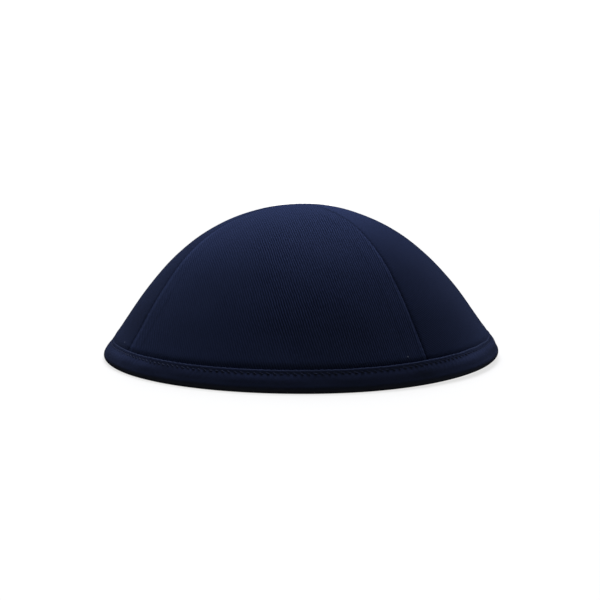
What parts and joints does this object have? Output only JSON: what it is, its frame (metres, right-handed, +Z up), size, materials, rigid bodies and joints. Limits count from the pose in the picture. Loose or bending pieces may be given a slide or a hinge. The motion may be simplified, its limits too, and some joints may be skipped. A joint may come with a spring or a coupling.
{
  "type": "kippah",
  "caption": "Cloth kippah: a round dome-shaped skullcap of sewn gores, its rim held in a folded and stitched bias binding.",
  "frame": {"origin": "the middle of the rim's standing plane, straight under the apex", "axes": "+Z up through the apex, -Y the front as pictured, +X to the right as seen from the front"},
  "size_m": [0.1696, 0.1696, 0.0639],
  "materials": {
    "crown_cloth": "navy blue cotton twill, matt with a slight sheen",
    "binding_cloth": "navy blue cotton bias strip, matt"
  },
  "bodies": {
    "root": {"crown_panel_front": "crown_cloth", "crown_panel_right": "crown_cloth", "crown_panel_back": "crown_cloth", "crown_panel_left": "crown_cloth", "rim_binding": "binding_cloth"}
  },
  "joints": []
}
